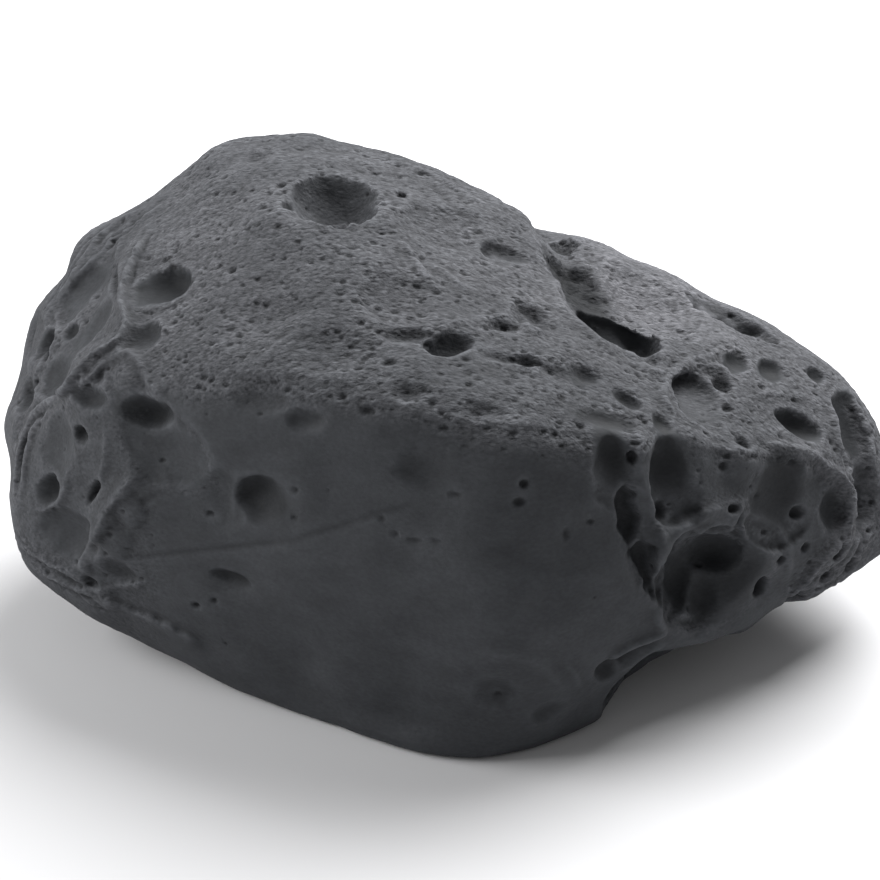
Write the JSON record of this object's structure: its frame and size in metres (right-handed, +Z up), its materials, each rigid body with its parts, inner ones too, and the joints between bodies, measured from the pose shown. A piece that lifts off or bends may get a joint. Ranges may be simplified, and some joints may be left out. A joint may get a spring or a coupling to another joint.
{
  "type": "river rock",
  "caption": "Dark, pitted volcanic river stone with a rounded block shape, a crater on its crown, a cleft and a small cave, lying on a flat underside.",
  "frame": {"origin": "on the ground, under the middle of the stone's bounding box", "axes": "+X along the stone's length towards its low, sloping end, +Y from its front wall to its back, +Z up"},
  "size_m": [0.313, 0.196, 0.1549],
  "materials": {
    "volcanic_stone": "matt dark blue-grey volcanic stone, fine-pored and dusty on top, smoother and darker on the river-worn front wall"
  },
  "bodies": {
    "root": {"rock": "volcanic_stone"}
  },
  "joints": []
}
